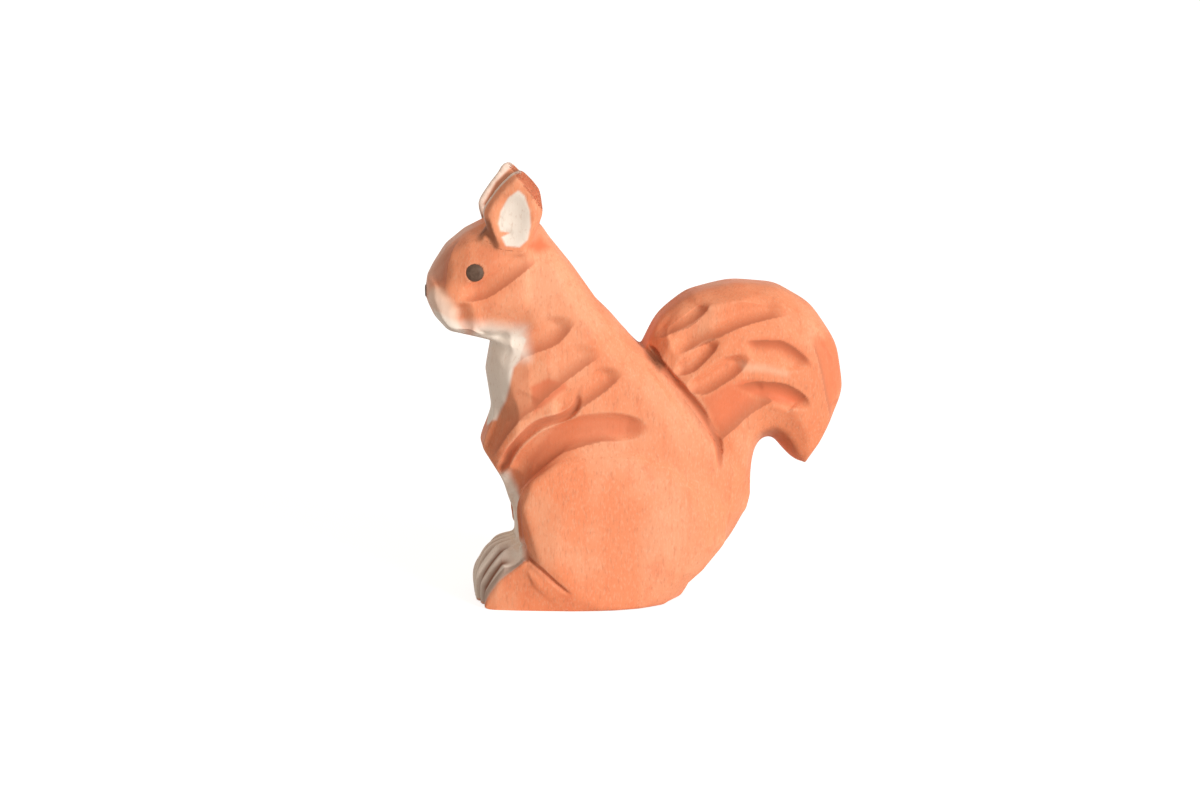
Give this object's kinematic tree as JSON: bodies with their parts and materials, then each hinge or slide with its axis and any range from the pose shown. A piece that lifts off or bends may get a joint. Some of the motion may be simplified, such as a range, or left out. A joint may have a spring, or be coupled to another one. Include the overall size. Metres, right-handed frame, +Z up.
{
  "type": "squirrel figurine",
  "caption": "Hand-carved wooden squirrel sitting up on its haunches with a curled tail, stained orange with a cream chest; a free-standing ornament with a flat base.",
  "frame": {"origin": "centre of the bounding box in plan, at the level of the flat base", "axes": "+Z up; the squirrel faces -X, so its tail is towards +X; its left side is towards -Y"},
  "size_m": [0.0694, 0.0254, 0.0726],
  "materials": {
    "stained_wood": "orange stain, matt",
    "dowel_wood": "bare",
    "dark_wood": "brown stain, matt"
  },
  "bodies": {
    "root": {"body": "stained_wood", "tail": "stained_wood", "tail_dowels": "dowel_wood", "left_ear": "stained_wood", "right_ear": "stained_wood", "left_eye": "dark_wood", "right_eye": "dark_wood", "nose": "dark_wood"}
  },
  "joints": []
}
